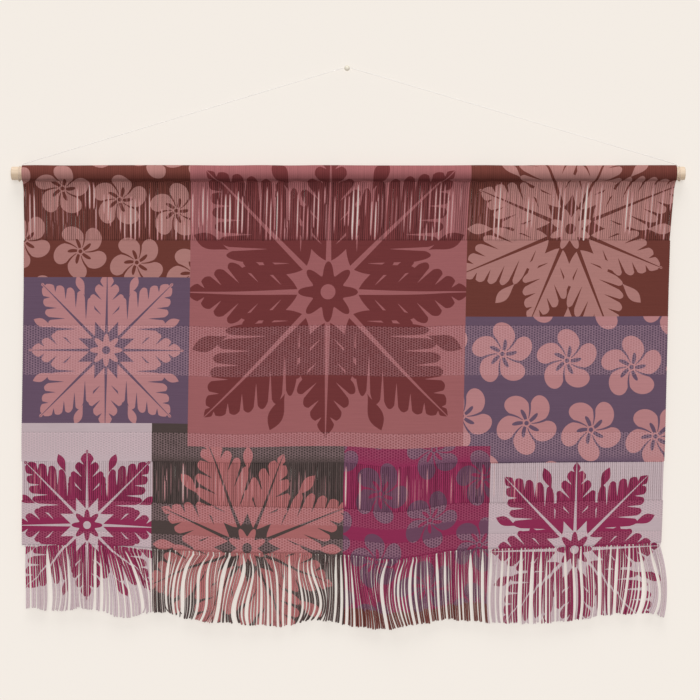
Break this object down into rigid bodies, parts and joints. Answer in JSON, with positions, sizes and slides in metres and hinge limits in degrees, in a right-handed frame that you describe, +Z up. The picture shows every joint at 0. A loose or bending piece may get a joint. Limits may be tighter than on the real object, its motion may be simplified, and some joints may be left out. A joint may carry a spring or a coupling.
{
  "type": "quilt-patterned wall hanging on a rod, with its cord and wall pin",
  "caption": "Fringed cloth hanging in woven bands with a printed leaf and flower quilt pattern, its top pocket on a round wooden rod that hangs by a cord from a wall pin.",
  "frame": {"origin": "on the wall, at the middle of the flat foot of the pin that the hanging hangs from", "axes": "+X along the rod to the right of someone who looks at the wall, +Y into the wall, +Z up"},
  "size_m": [1.2, 0.0295, 1.0099],
  "materials": {
    "rod_wood": "sanded pale softwood, unvarnished",
    "printed_cloth": "matt printed cotton weave in plain, basket and open-warp bands",
    "fringe_yarn": "matt printed cotton yarn",
    "cord": "undyed smooth cotton cord",
    "pin": "pale satin head"
  },
  "bodies": {
    "root": {"rod": "rod_wood", "cloth": "printed_cloth", "fringe": "fringe_yarn", "hanging_cord": "cord", "wall_pin": "pin"}
  },
  "joints": []
}
